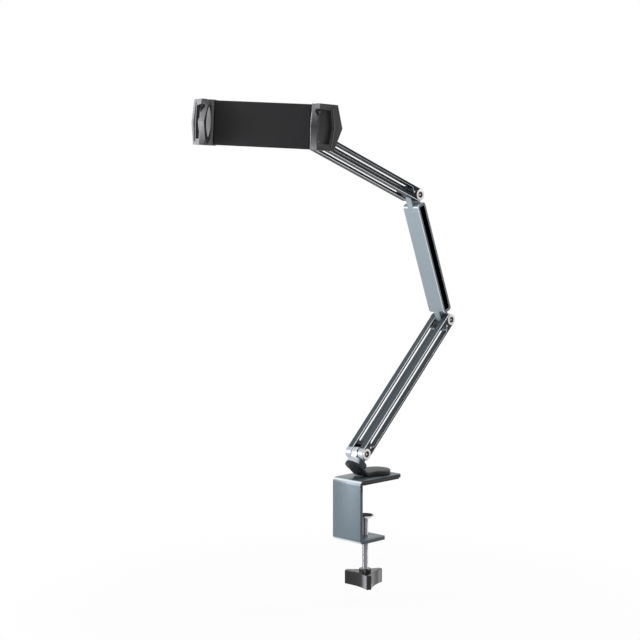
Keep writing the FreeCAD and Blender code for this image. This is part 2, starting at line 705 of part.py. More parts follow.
def make_ring(frame):
    edge = dim.ring_edge
    outer = turned("ring_turning", [(0, -dim.ring_rear), (dim.ring_radius - edge, -dim.ring_rear),
                                    (dim.ring_radius, edge - dim.ring_rear),
                                    (dim.ring_radius, dim.ring_front - edge),
                                    (dim.ring_radius - edge, dim.ring_front), (0, dim.ring_front)])
    bore = cylinder("ring_bore", dim.cup_radius + dim.running_play, "z",
                    dim.cup_overlap - dim.ring_gap, dim.ring_front + 1)
    room = sphere("ring_ball_room", dim.ball_radius + dim.ball_play)
    node(cut("ring", outer, bore, room), "socket_ring", frame)


SHELL_BACK = dim.plate_thick + dim.shell_deep
CUP_TOP = dim.plate_reach - SHELL_BACK


def cup_screw_spots():
    for quarter in range(4):
        angle = Size(45.0 + 90.0 * quarter, f"{45 + 90 * quarter}")
        yield quarter, cos_of(angle) * dim.cup_screw_place, sin_of(angle) * dim.cup_screw_place


def make_cup(frame):
    flange = CUP_TOP - dim.cup_flange_thick
    body = turned("cup_turning", [(0, dim.cup_overlap), (dim.cup_radius, dim.cup_overlap),
                                  (dim.cup_radius, flange), (dim.cup_flange, flange),
                                  (dim.cup_flange, CUP_TOP), (0, CUP_TOP)])
    tools = [sphere("cup_ball_room", dim.ball_radius + dim.ball_play)]
    screws = []
    end = CUP_TOP + dim.shell_wall
    for quarter, x, y in cup_screw_spots():
        tools.append(cylinder(f"cup_hole_{quarter}", dim.cup_screw_radius, "z", flange - 1, CUP_TOP + 1,
                              x, y))
        head = cylinder(f"cup_screw_head_{quarter}", dim.cup_screw_head, "z",
                        flange - dim.cup_screw_radius, flange, x, y)
        shank = cylinder(f"cup_screw_shank_{quarter}", dim.cup_screw_radius, "z", flange - 1, end, x, y)
        screws.append(fuse(f"cup_screw_{quarter}", head, shank))
    node(cut("cup", body, *tools), "socket_cup", frame)
    node(group("cup_screw_set", *screws), "cup_screws", frame)


CHANNEL = (dim.plate_thick + dim.shell_wall, SHELL_BACK - dim.shell_wall)
SLIDE = (CHANNEL[0] + dim.slide_play, CHANNEL[1] - dim.slide_play)


def make_holder(frame):
    half = dim.plate_half
    tall = dim.plate_height / 2
    body = new_body("shell_body")
    section = outline(body, "shell_section", "YZ_Plane",
                      [(dim.plate_thick, -tall), (SHELL_BACK, -tall), (SHELL_BACK, tall),
                       (dim.plate_thick, tall)], -half)
    block = pad(body, "shell_block", section, half * 2)
    dress(body, "Fillet", "shell_edges", block, dim.shell_edge,
          lambda line: runs_along(line, "x") and abs(middle_of(line).y - SHELL_BACK.value) < 0.01)
    band = dim.slide_side + dim.slide_play
    tools = [box("shell_channel", (-half - 1, half + 1), CHANNEL, (-band, band))]
    for quarter, x, z in cup_screw_spots():
        tools.append(cylinder(f"shell_hole_{quarter}", dim.cup_screw_radius, "y",
                              SHELL_BACK - dim.shell_wall - 1, SHELL_BACK + 1, x, z))
    node(cut("shell", body, *tools), "holder_shell", frame)
    front = new_body("plate_body")
    face = outline(front, "plate_outline", "XZ_Plane",
                   [(-half, -tall), (half, -tall), (half, tall), (-half, tall)], -dim.plate_thick)
    slab = pad(front, "plate_slab", face, dim.plate_thick)
    dress(front, "Chamfer", "plate_bevel", slab, dim.plate_edge,
          lambda line: abs(middle_of(line).y) < 0.01)
    node(front, "front_plate", frame)


def jaw_outline(body, name, height, points, side):
    """A level section of a jaw from its tip, ridge and rear; the rest of it is alike at every height."""
    inner = dim.plate_half + dim.jaw_gap
    tip, ridge, rear = points
    return outline(body, name, "XY_Plane",
                   [(as_size(x) * side, y) for x, y in (tip, ridge, rear, (inner + dim.heel, SHELL_BACK),
                                                        (inner, SHELL_BACK), (inner, 0),
                                                        (dim.wall_base, 0))], height)


def recess_tool(name, reach, grown, deep, place, side):
    """A pocket's cutter: straight in front, bent at the rear, sunk square to the jaw's outer face."""
    half = dim.recess_half + grown
    start = dim.recess_start - grown
    end = dim.recess_start + reach + grown
    body = new_body(name)
    section = outline(body, name + "_outline", "XZ_Plane",
                      [(start, -half), (end, -half), (end + dim.recess_apex, 0), (end, half),
                       (start, half)], -deep)
    pad(body, name + "_block", section, deep * 2)
    if side < 0:
        flipped = doc.addObject("Part::Mirroring", name + "_flipped")
        flipped.Source = body
        flipped.Normal = FreeCAD.Vector(1, 0, 0)
        body = flipped
    return moved(name + "_in_place", place, body)


def make_jaw(name, side, frame):
    """One jaw; side is 1 for the right one and -1 for the left one."""
    tall = dim.jaw_height / 2
    inner = dim.plate_half + dim.jaw_gap
    slope = (dim.tip_side - dim.wall_base) / dim.tip_front
    body = new_body(name + "_blank")
    low = jaw_outline(body, name + "_low_section", -tall,
                      ((dim.wall_base + dim.tip_low_front * slope, -dim.tip_low_front),
                       (dim.ridge_low_side, -dim.ridge_low_front),
                       (dim.rear_low_side, dim.jaw_low_rear)), side)
    middle = jaw_outline(body, name + "_middle_section", 0,
                         ((dim.tip_side, -dim.tip_front), (dim.ridge_side, -dim.ridge_front),
                          (dim.jaw_rear_side, dim.jaw_rear)), side)
    top = jaw_outline(body, name + "_top_section", tall,
                      ((dim.wall_base + dim.tip_top_front * slope, -dim.tip_top_front),
                       (dim.ridge_top_side, -dim.ridge_top_front),
                       (dim.rear_top_side, dim.jaw_top_rear)), side)
    loft = body.newObject("PartDesign::AdditiveLoft", name + "_loft")
    loft.Profile = low
    loft.Sections = [middle, top]
    loft.Ruled = True
    doc.recompute()
    lean = angle_of(dim.jaw_rear_side - dim.ridge_side, dim.jaw_rear + dim.ridge_front)
    place = Frame(dim.ridge_side * side, -dim.ridge_front, 0, (90 - lean) * side)
    tools = [recess_tool(name + "_step", dim.recess_long, dim.step_wide, dim.step_deep, place, side),
             recess_tool(name + "_recess", dim.recess_long, 0, dim.recess_deep, place, side)]
    for end, sign in (("top", 1), ("low", -1)):
        corner = new_body(f"{name}_{end}_corner")
        points = [(dim.wall_base - 1, dim.corner_start), (dim.wall_base, dim.corner_start),
                  (dim.wall_base + dim.corner_side, tall + 1), (dim.wall_base - 1, tall + 1)]
        shape = outline(corner, f"{name}_{end}_corner_shape", "XZ_Plane",
                        [(x * side, z * sign) for x, z in points])
        pad(corner, f"{name}_{end}_corner_cutter", shape, dim.tip_front + 1)
        tools.append(corner)
    band = (dim.slide_gap / 2, dim.slide_side) if side < 0 else (-dim.slide_side, -dim.slide_gap / 2)
    far = inner + dim.heel
    reach = (-dim.slide_far, far) if side > 0 else (-far, dim.slide_far)
    tools.append(box(name + "_slide_room", reach, SLIDE, band))
    node(cut(name + "_cut", body, *tools), name, frame)
    slide = box(name + "_slide_bar", reach, SLIDE, band)
    node(slide, name.replace("jaw", "slide"), frame)
    bow = (dim.jaw_pad_tall * dim.jaw_pad_tall + dim.jaw_pad_wide * dim.jaw_pad_wide) / (
        dim.jaw_pad_wide * 4)
    away = bow - dim.jaw_pad_wide / 2
    start = -dim.jaw_pad_thick if side > 0 else as_size(0)
    lens = common(name + "_lens", cylinder(name + "_lens_front", bow, "x", start,
                                           start + dim.jaw_pad_thick, -dim.jaw_pad_front - away, 0),
                  cylinder(name + "_lens_back", bow, "x", start, start + dim.jaw_pad_thick,
                           away - dim.jaw_pad_front, 0))
    wall_lean = angle_of(dim.tip_side - dim.wall_base, dim.tip_front)
    pad_seat = moved(name + "_pad_seat", Frame(dim.wall_base * side, 0, 0, wall_lean * side), lens)
    node(group(name + "_pad_piece", pad_seat), name.replace("jaw", "pad"), frame)


def finish():
    doc.recompute()
    os.makedirs("parts", exist_ok=True)
    for item in doc.Objects:
        if "Invalid" in item.State or "Error" in item.State:
            raise RuntimeError(f"{item.Label} is not made: {item.State}")
    for item in nodes:
        if item.Shape.isNull() or not item.Shape.isValid():
            raise RuntimeError(f"{item.Label} has no valid shape")
    for item in nodes:
        item.Shape.exportStep(f"parts/{item.Label}.step")


MIDDLE_Y = BASE_Y + sin_of(dim.lower_lean) * dim.lower_length
MIDDLE_Z = BASE_Z + cos_of(dim.lower_lean) * dim.lower_length
UPPER_Y = MIDDLE_Y - sin_of(dim.middle_lean) * dim.middle_length
UPPER_Z = MIDDLE_Z + cos_of(dim.middle_lean) * dim.middle_length
END_Y = UPPER_Y - cos_of(dim.upper_rise) * dim.upper_length
END_Z = UPPER_Z + sin_of(dim.upper_rise) * dim.upper_length
BALL_Y = END_Y - cos_of(dim.head_tilt) * dim.ball_reach
BALL_Z = END_Z + sin_of(dim.head_tilt) * dim.ball_reach
UPPER_TURN = 90 - dim.upper_rise

lower_arm = Frame(0, BASE_Y, BASE_Z, roll=-dim.lower_lean)
lower_arm_end = Frame(0, MIDDLE_Y, MIDDLE_Z, roll=-dim.lower_lean)
middle_arm = Frame(0, MIDDLE_Y, MIDDLE_Z, roll=dim.middle_lean)
upper_arm = Frame(0, UPPER_Y, UPPER_Z, roll=UPPER_TURN)
upper_arm_end = Frame(0, END_Y, END_Z, roll=UPPER_TURN)
head = Frame(0, END_Y, END_Z, roll=90 - dim.head_tilt)
socket = Frame(0, BALL_Y, BALL_Z, dim.holder_yaw, dim.holder_roll, 90)
holder = Frame(sin_of(dim.holder_yaw) * dim.plate_reach,
               BALL_Y - cos_of(dim.holder_yaw) * dim.plate_reach, BALL_Z,
               dim.holder_yaw, dim.holder_roll, 0)

fill_sheet()
make_clamp()
make_desk_pad()
make_screw()
make_pressure_plate()
make_knob()
make_washer()
make_foot()
make_pivot_head()
make_swivel_screws()
make_slotted_arm("lower_arm", dim.lower_length, lower_arm)
make_pivot("base_pivot", lower_arm)
make_pivot("middle_pivot", lower_arm_end)
make_middle_arm(middle_arm)
make_slotted_arm("upper_arm", dim.upper_length, upper_arm)
make_pivot("upper_pivot", upper_arm)
make_pivot("end_pivot", upper_arm_end)
make_head(head)
make_ring(socket)
make_cup(socket)
make_holder(holder)
make_jaw("right_jaw", 1, holder)
make_jaw("left_jaw", -1, holder)
finish()
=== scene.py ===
"""Finish of the bed tablet holder: rounded edges, screw thread, small fasteners and materials.

Metres, in the frame of the solids. Sizes that a maker would quote in millimetres are written
times MM.
"""
import json
import math

import bpy
from mathutils import Matrix, Vector


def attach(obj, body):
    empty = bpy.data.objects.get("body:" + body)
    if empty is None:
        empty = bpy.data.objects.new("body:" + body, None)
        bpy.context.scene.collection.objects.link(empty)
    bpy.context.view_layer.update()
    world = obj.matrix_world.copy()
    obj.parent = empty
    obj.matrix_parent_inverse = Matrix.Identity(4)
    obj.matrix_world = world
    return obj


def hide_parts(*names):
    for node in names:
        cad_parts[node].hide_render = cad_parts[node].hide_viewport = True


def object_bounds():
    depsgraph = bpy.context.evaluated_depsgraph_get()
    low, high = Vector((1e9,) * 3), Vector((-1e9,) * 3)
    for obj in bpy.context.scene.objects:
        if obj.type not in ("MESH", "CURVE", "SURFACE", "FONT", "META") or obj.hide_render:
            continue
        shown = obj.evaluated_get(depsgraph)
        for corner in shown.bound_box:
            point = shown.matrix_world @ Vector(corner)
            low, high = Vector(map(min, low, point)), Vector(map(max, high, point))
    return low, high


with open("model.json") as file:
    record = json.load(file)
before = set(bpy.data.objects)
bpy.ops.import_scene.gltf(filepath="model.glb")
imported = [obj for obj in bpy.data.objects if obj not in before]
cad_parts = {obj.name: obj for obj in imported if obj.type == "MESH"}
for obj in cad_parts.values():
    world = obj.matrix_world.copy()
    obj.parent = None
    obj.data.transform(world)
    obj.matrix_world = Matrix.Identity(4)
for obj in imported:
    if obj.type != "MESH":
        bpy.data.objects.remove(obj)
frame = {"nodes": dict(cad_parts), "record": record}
solid_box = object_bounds()
parts = frame["nodes"]
body_of_part = {part: body for body, members in frame["record"]["behaviour"]["bodies"].items()
                for part in members}
slot_of_part = {row["node"]: row["material_slot"] for row in frame["record"]["subparts"]}

MM = 0.001
WELD = 0.002 * MM

# arms: the turn of each about X, and their lengths between pivots
LOWER_TURN = math.radians(-45.5)
MIDDLE_TURN = math.radians(21.1)
UPPER_TURN = math.radians(69.9)
SEAT_TURN = math.radians(-41)
ARM_LENGTH = 229 * MM
MIDDLE_LENGTH = 177 * MM

# links: their round ends, and how far their sides are from the middle plane of the arms
LINK_ROUND = 8 * MM
TONGUE = 4.4 * MM
BAR_INNER = 5.7 * MM
BAR_OUTER = 14.5 * MM
PIVOT_HOLE = 3.1 * MM
RIM_BEVEL = 0.3 * MM

# side bars: the slot's round ends and the height at which it starts, and the pin's hole
SLOT_ROUNDS = {"lower": 5.0 * MM, "upper": 4.6 * MM}
SLOT_START = 18.2 * MM
BAR_BEVEL = 0.65 * MM
PIN_HOLE = 1.15 * MM
PIN_HEIGHT = 11.2 * MM

# middle arm: half its width, its rounded shoulders and its grooves
MIDDLE_HALF = 13 * MM
MIDDLE_BEVEL = 0.7 * MM
SHOULDER = 12 * MM
SHOULDER_ROUND = 4.5 * MM
GROOVE_HALF = 4.6 * MM
GROOVE_START = 16 * MM
GROOVE_CORNER = 1.5 * MM
LINER_CORNER = 1.4 * MM

# hinge bolts
COLLAR_ROUND = 7 * MM
COLLAR_BORE = 4 * MM
COLLAR_PROUD = 1 * MM
COLLAR_BEVEL = 0.3 * MM
CENTRE_PIN = 1.3 * MM
SHANK_ROUND = 3 * MM
HEAD_ROUND = 3.9 * MM
SOCKET_ROUND = 2.6 * MM
WASHER_ROUND = 7.2 * MM
WASHER_BORE = 3.05 * MM
WASHER_BEVEL = 0.15 * MM

# turned drum over the swivel foot
DRUM_ROUND = 12.2 * MM
DRUM_DRAWN = 12.75 * MM
DRUM_HEIGHT = 7 * MM

# clamp screw
PITCH = 1.25 * MM
ROD_TOP = -48.7 * MM
ROD_LOW = -131 * MM
CREST = 3.95 * MM
ROOT = 3.35 * MM
ROD_SIDES = 24
SPIGOT_ROUND = 3 * MM
SPIGOT_BEVEL = 0.25 * MM

# holder
HOLDER_PLACE = Vector((14.046, -191.301, 443.318)) * MM
HOLDER_TURN = math.radians(32.7)
HOLDER_LEAN = math.radians(3)
SHELL_BACK = 14.5 * MM

# jaw: its ridge and its rear corner, across and back, in millimetres, and its recess
RIDGE = (71, -18.5)
REAR_CORNER = (91, 21)
FACE_TURN = math.atan2(REAR_CORNER[1] - RIDGE[1], REAR_CORNER[0] - RIDGE[0])
RECESS_FLOOR = 7 * MM


def upright(y, z, turn):
    """The place of a piece that is drawn upright about its own lower pivot."""
    return Matrix.Translation(Vector((0, y, z)) * MM) @ Matrix.Rotation(turn, 4, "X")


def beyond(place, length):
    """The same direction, a length further on."""
    return place @ Matrix.Translation((0, 0, length))


SEAT = upright(-18.009, 21.066, SEAT_TURN)
LOWER = upright(-13.417, 37.349, LOWER_TURN)
MIDDLE = upright(149.917, 197.857, MIDDLE_TURN)
UPPER = upright(86.198, 362.990, UPPER_TURN)
HOLDER = (Matrix.Translation(HOLDER_PLACE) @ Matrix.Rotation(HOLDER_TURN, 4, "Z")
          @ Matrix.Rotation(HOLDER_LEAN, 4, "Y"))


def only(piece):
    """Makes a piece the single one selected and active."""
    bpy.ops.object.select_all(action="DESELECT")
    piece.select_set(True)
    bpy.context.view_layer.objects.active = piece


def edit(piece, mode="VERT", action="SELECT"):
    """Opens a piece with all of it selected, or with nothing."""
    only(piece)
    bpy.ops.object.mode_set(mode="EDIT")
    bpy.ops.mesh.select_mode(type=mode)
    bpy.ops.mesh.select_all(action=action)


def leave():
    bpy.ops.object.mode_set(mode="OBJECT")


def pick(piece, mode, chosen):
    """Opens a piece with only those vertices or edges selected for which chosen is true."""
    edit(piece, mode, "DESELECT")
    leave()
    corners = piece.data.vertices
    if mode == "VERT":
        for corner in corners:
            corner.select = chosen(corner.co)
    else:
        for edge in piece.data.edges:
            edge.select = chosen(*(corners[number].co for number in edge.vertices))
    bpy.ops.object.mode_set(mode="EDIT")


def modify(piece, kind, **settings):
    """Applies one modifier to a piece."""
    only(piece)
    modifier = piece.modifiers.new("finish", kind)
    for name, value in settings.items():
        setattr(modifier, name, value)
    bpy.ops.object.modifier_apply(modifier=modifier.name)


def settle(piece, place=Matrix()):
    """Carries a piece to its place and keeps that place in its mesh."""
    bpy.context.view_layer.update()
    piece.matrix_world = place @ piece.matrix_world
    only(piece)
    bpy.ops.object.transform_apply(location=True, rotation=True, scale=True)


def carve(piece, tool, operation="DIFFERENCE"):
    """Cuts a tool out of a piece, or adds it, and clears the tool away."""
    modify(piece, "BOOLEAN", operation=operation, object=tool, solver="EXACT")
    bpy.data.objects.remove(tool)


def disc(radius, start, end, height=0.0, vertices=48):
    """A round piece along X, at a height above the pivot."""
    bpy.ops.object.select_all(action="DESELECT")
    bpy.ops.mesh.primitive_cylinder_add(vertices=vertices, radius=radius, depth=end - start,
                                        rotation=(0, math.pi / 2, 0))
    piece = bpy.context.object
    half_step = Matrix.Rotation(math.pi / vertices, 4, "X")
    settle(piece, Matrix.Translation(((start + end) / 2, 0, height)) @ half_step)
    return piece


def peg(radius, low, high, vertices):
    """A round piece along Z."""
    bpy.ops.object.select_all(action="DESELECT")
    bpy.ops.mesh.primitive_cylinder_add(vertices=vertices, radius=radius, depth=high - low,
                                        location=(0, 0, (low + high) / 2))
    piece = bpy.context.object
    settle(piece)
    return piece


def flat_link(radius, low, high, start, end):
    """A flat link with round ends: a disc drawn out upwards."""
    piece = disc(radius, start, end, low, 64)
    pick(piece, "VERT", lambda spot: spot.z > low)
    bpy.ops.transform.translate(value=(0, 0, high - low))
    leave()
    return piece


def block(lowest, highest):
    bpy.ops.object.select_all(action="DESELECT")
    middle = (Vector(lowest) + Vector(highest)) / 2
    bpy.ops.mesh.primitive_cube_add(size=1, location=middle)
    piece = bpy.context.object
    piece.scale = Vector(highest) - Vector(lowest)
    settle(piece)
    return piece


def level_edge(first, second):
    """True for an edge that lies in a side face, square to X."""
    return abs(first.x - second.x) < 0.001 * MM


def cross_edge(first, second):
    """True for an edge along X."""
    return abs(first.y - second.y) < 0.001 * MM and abs(first.z - second.z) < 0.001 * MM


def every_edge(first, second):
    return True


def bevelled(piece, edges, width, segments=1):
    pick(piece, "EDGE", edges)
    bpy.ops.mesh.bevel(offset=width, segments=segments, affect="EDGES")
    leave()


def rim_bevelled(piece, **settings):
    """Breaks every sharp edge of a link a little."""
    modify(piece, "BEVEL", width=RIM_BEVEL, segments=1, limit_method="ANGLE",
           angle_limit=math.radians(60), **settings)


def smooth(piece, angle=26):
    only(piece)
    bpy.ops.object.shade_smooth_by_angle(angle=math.radians(angle))


def joined(pieces):
    """Several pieces made one."""
    bpy.ops.object.select_all(action="DESELECT")
    for piece in pieces:
        piece.select_set(True)
    bpy.context.view_layer.objects.active = pieces[0]
    bpy.ops.object.join()
    return pieces[0]


def twin(piece):
    """A copy of a piece with its own mesh."""
    copy = bpy.data.objects.new("twin", piece.data.copy())
    bpy.context.scene.collection.objects.link(copy)
    return copy


def dress(piece, finish):
    """Gives every slot of a piece one finish."""
    if not piece.data.materials:
        piece.data.materials.append(finish)
    for slot in piece.material_slots:
        slot.material = finish


def fitted(piece, name, finish, body, slot, *stands_for):
    """Names a finished piece, dresses it and joins it to its body."""
    piece.name = name
    piece.data.name = name
    dress(piece, finish)
    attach(piece, body)
    if stands_for:
        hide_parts(*stands_for)
    return piece


def rounded_copy(part, width):
    """A welded copy of a solid with its edges rounded, which stands for it."""
    piece = twin(parts[part])
    only(piece)
    bpy.ops.mesh.customdata_custom_splitnormals_clear()
    edit(piece)
    bpy.ops.mesh.remove_doubles(threshold=0.001 * MM)
    bpy.ops.mesh.dissolve_limited(angle_limit=math.radians(0.4))
    leave()
    modify(piece, "BEVEL", width=width, segments=2, limit_method="ANGLE",
           angle_limit=math.radians(28))
    smooth(piece)
    return fitted(piece, part + "_rounded", finish_of(part), body_of_part[part],
                  slot_of_part[part], part)


class Value:
    """A number of a material, with sums written as usual."""

    def __init__(self, finish, socket):
        self.finish = finish
        self.socket = socket

    def combined(self, operation, first, second, clamp=False):
        node = self.finish.node("ShaderNodeMath", {"operation": operation, "use_clamp": clamp},
                                {0: first, 1: second})
        return Value(self.finish, node.outputs[0])

    def __add__(self, other):
        return self.combined("ADD", self, other)

    __radd__ = __add__

    def __sub__(self, other):
        return self.combined("SUBTRACT", self, other)

    def __rsub__(self, other):
        return self.combined("SUBTRACT", other, self)

    def __mul__(self, other):
        return self.combined("MULTIPLY", self, other)

    __rmul__ = __mul__

    def __truediv__(self, other):
        return self.combined("DIVIDE", self, other)

    def __pow__(self, other):
        return self.combined("POWER", self, other)

    def limited(self):
        return self.combined("ADD", self, 0, clamp=True)

    def past(self, start, gain):
        """0 up to a start, and from there rising to 1."""
        return ((self - start) * gain).limited()


class Finish:
    """A material, or the room's light, under construction."""

    def __init__(self, owner):
        owner.use_nodes = True
        self.owner = owner
        self.tree = owner.node_tree
        self.tree.nodes.clear()

    def node(self, kind, settings=None, inputs=None):
        """Adds a node, sets it up, and then gives or links its inputs."""
        node = self.tree.nodes.new(kind)
        for name, value in (settings or {}).items():
            setattr(node, name, value)
        for name, value in (inputs or {}).items():
            socket = node.inputs[name]
            if isinstance(value, Value):
                self.tree.links.new(value.socket, socket)
            elif isinstance(value, bpy.types.NodeSocket):
                self.tree.links.new(value, socket)
            else:
                socket.default_value = value
        return node

    def places(self, place=Matrix(), scale=(1, 1, 1)):
        """Object coordinates in a piece's own frame."""
        start = self.node("ShaderNodeTexCoord").outputs["Object"]
        moved = self.node("ShaderNodeVectorMath", {"operation": "SUBTRACT"},
                          {0: start, 1: place.translation})
        turned = self.node("ShaderNodeMapping", {"vector_type": "POINT"},
                           {"Vector": moved.outputs[0],
                            "Rotation": place.inverted().to_euler()})
        drawn = self.node("ShaderNodeVectorMath", {"operation": "MULTIPLY"},
                          {0: turned.outputs[0], 1: scale})
        return drawn.outputs[0]

    def split(self, vector):
        """The three numbers of a vector."""
        node = self.node("ShaderNodeSeparateXYZ", {}, {0: vector})
        return [Value(self, output) for output in node.outputs]

    def normals(self):
        """The three numbers of the surface's direction."""
        return self.split(self.node("ShaderNodeTexCoord").outputs["Normal"])

    def noise(self, where, scale, detail=3, roughness=0.5):
        node = self.node("ShaderNodeTexNoise", {}, {"Vector": where, "Scale": scale,
                                                    "Detail": detail, "Roughness": roughness})
        return Value(self, node.outputs[0])

    def softened(self, radius):
        """The surface's direction, rounded over the edges."""
        return self.node("ShaderNodeBevel", {"samples": 6}, {"Radius": radius}).outputs[0]

    def edges(self, radius, gain):
        """Nears 1 along the outer edges of a piece and is 0 on its flats."""
        flat = self.node("ShaderNodeNewGeometry").outputs["Normal"]
        facing = self.node("ShaderNodeVectorMath", {"operation": "DOT_PRODUCT"},
                           {0: self.softened(radius), 1: flat})
        return ((1 - Value(self, facing.outputs["Value"])) * gain).limited()

    def mix(self, share, first, second):
        node = self.node("ShaderNodeMix", {"data_type": "RGBA"},
                         {0: share, 6: first, 7: second})
        return node.outputs[2]

    def of(self, operation, value):
        node = self.node("ShaderNodeMath", {"operation": operation}, {0: value})
        return Value(self, node.outputs[0])

    def size_of(self, value):
        return self.of("ABSOLUTE", value)

    def within(self, *ranges):
        """Is 1 where every value is well inside its range in millimetres, and 0 outside."""
        share = 1
        for value, low, high in ranges:
            if low is not None:
                share = ((value / MM - low) * 4).limited() * share
            if high is not None:
                share = ((high - value / MM) * 4).limited() * share
        return share

    def bump(self, height, strength, distance, radius):
        return self.node("ShaderNodeBump", {},
                         {"Height": height, "Strength": strength, "Distance": distance,
                          "Normal": self.softened(radius)}).outputs[0]

    def surface(self, **inputs):
        shader = self.node("ShaderNodeBsdfPrincipled", {},
                           {name.replace("_", " "): value for name, value in inputs.items()})
        self.node("ShaderNodeOutputMaterial", {}, {"Surface": shader.outputs[0]})
        return self.owner

    def in_view(self):
        """Is 1 for what the camera sees, straight, mirrored or through glass."""
        rays = self.node("ShaderNodeLightPath").outputs
        return (Value(self, rays["Is Camera Ray"]) + Value(self, rays["Is Glossy Ray"])
                + Value(self, rays["Is Transmission Ray"])).limited()


def new_finish(name):
    return Finish(bpy.data.materials.new(name))


def shade(red, green, blue):
    """A colour given as a screen would show it, from 0 to 255."""
    def linear(level):
        level = level / 255
        return level / 12.92 if level <= 0.04045 else ((level + 0.055) / 1.055) ** 2.4
    return (linear(red), linear(green), linear(blue), 1)


def scaled(colour, share):
    """A colour made darker or lighter by a share."""
    return tuple(min(1, share * level) for level in colour[:3]) + (1,)


# the colour of the painted highlights along the bevels of anodised metal
BEVEL_HIGHLIGHT_COLOUR = shade(240, 247, 252)
# painted shade on the sides of the dark arms
ARM_SIDE_SHADE = shade(24, 29, 34)
# painted highlight on the round lower ends of the lower arm's bars, fading over a height
KNUCKLE_HIGHLIGHT = shade(178, 188, 195)
KNUCKLE_HIGHLIGHT_FADE = 1.5 * MM
# the clamp's painted side shade turns lighter below this height, over this fade
CLAMP_LOW = -6 * MM
CLAMP_FADE = 3 * MM
# painted shade in the grooves of the middle arm
GROOVE_SHADE = shade(7, 9, 12)
JAW = shade(58, 58, 60)
# a jaw's lighter edges, as wear and as painted highlight
JAW_EDGE_WEAR_AND_HIGHLIGHT = shade(128, 128, 131)
# painted light on a jaw's facets turned to the front left
JAW_PAINTED_LIGHT = shade(148, 148, 151)
# painted shade in a jaw's recess, darkest at its near end
RECESS_SHADE_NEAR = shade(12, 12, 13)
RECESS_SHADE_FAR = shade(54, 54, 56)
# painted highlight beside each lobe of the knob
KNOB_PAINTED_HIGHLIGHT = shade(160, 160, 166)
KNOB_LOBES = 3
KNOB_TURN = math.radians(-41)
# how far to the side the bevels face that get the painted highlight
BEVEL_FACING = 0.707
# the direction from which the jaws' painted light falls
FRONT_LEFT = (-0.42, -1.05)

# the painted shade in a jaw's recess, in millimetres: across its face, along it, and half its
# height
RECESS_ACROSS = (2.4, 7.8)
RECESS_ALONG = (1.5, 31)
RECESS_HALF = 20.3


def anodised(name, front, side, highlight_colour, place=Matrix(), slotted=False, knuckle=None, bend_highlight=None,
             low_side_shade=None, grooved=False, rear_bevel_highlight=0.2, metallic=0.4, gloss=0.5):
    """Satin anodised aluminium: drawn along the piece, painted shade on its milled sides,
    painted highlights on its bevels.

    A bright knuckle is a painted highlight on the round end of a bar, the bright outside of a
    fold in a plate a painted highlight, and the low side tone the painted shade of its sides
    below the desk. Of a slot's two rims only the one turned to the front gets the full painted
    highlight, and a bar's rear bevels a weaker one.
    """
    finish = new_finish(name)
    own = finish.split(finish.places(place))
    drawn_out = (1, 1, 0.045)
    grain = finish.noise(finish.places(place, drawn_out), scale=2600, detail=2)
    cloud = finish.noise(finish.places(), scale=38, detail=4)
    across, deep, up = finish.normals()
    sideways = finish.size_of(across)
    sheen = (grain * 0.35 + cloud * 0.65).limited()
    tone = finish.mix(sheen, scaled(front, 0.92), scaled(front, 1.08))
    # painted shade on the sides, where the surface faces along X, lighter below the desk if a
    # low side tone is given
    if low_side_shade is not None:
        below = ((CLAMP_LOW - own[2]) / CLAMP_FADE).limited()
        side = finish.mix(below, side, low_side_shade)
    tone = finish.mix(sideways.past(0.8, gain=8), tone, side)
    # painted highlight on the round lower end of a bar, away from its sides
    if knuckle is not None:
        round_end_highlight = ((knuckle - own[2]) / KNUCKLE_HIGHLIGHT_FADE).limited()
        tone = finish.mix(round_end_highlight * (1 - sideways.past(0.5, gain=4)), tone, KNUCKLE_HIGHLIGHT)
    # painted highlight along the outside of a plate's folds
    if bend_highlight is not None:
        folded_highlight = (finish.size_of(deep * up) * 2.1) ** 6
        tone = finish.mix(folded_highlight.limited(), tone, bend_highlight)
    # painted shade in the side grooves of the middle arm
    if grooved:
        start, end = GROOVE_START / MM - 0.3, (MIDDLE_LENGTH - GROOVE_START) / MM + 0.3
        groove = finish.within((finish.size_of(own[0]), TONGUE / MM + 0.1, None),
                               (finish.size_of(own[1]), None, GROOVE_HALF / MM + 0.25),
                               (own[2], start, end))
        tone = finish.mix(groove, tone, GROOVE_SHADE)
    # painted highlights on the bevels; on slotted bars the rims turned to the front get them
    # fully, the rear bevels weaker
    off_bevel = (sideways - BEVEL_FACING) * 5
    bevel_highlight = (1 - off_bevel * off_bevel).limited()
    if slotted:
        ahead = place.to_quaternion() @ Vector((0, -5, 0))
        front_rim_lit = (deep * ahead.y + up * ahead.z).limited()
        outer_side = finish.size_of(own[1]).past(6.4 * MM, gain=1 / (0.4 * MM))
        bevel_highlight = bevel_highlight * (outer_side * rear_bevel_highlight + front_rim_lit).limited()
    # edges lighter as wear and as painted highlight
    wear_and_highlight = finish.edges(radius=0.3 * MM, gain=1.6) * (0.2 if slotted else 0.6)
    colour = finish.mix((bevel_highlight + wear_and_highlight).limited(), tone, highlight_colour)
    return finish.surface(Base_Color=colour, Metallic=metallic, Specular_IOR_Level=gloss,
                          Roughness=grain * 0.14 + cloud * 0.1 + 0.24,
                          Normal=finish.bump(grain, strength=0.12, distance=0.02 * MM,
                                             radius=0.15 * MM))


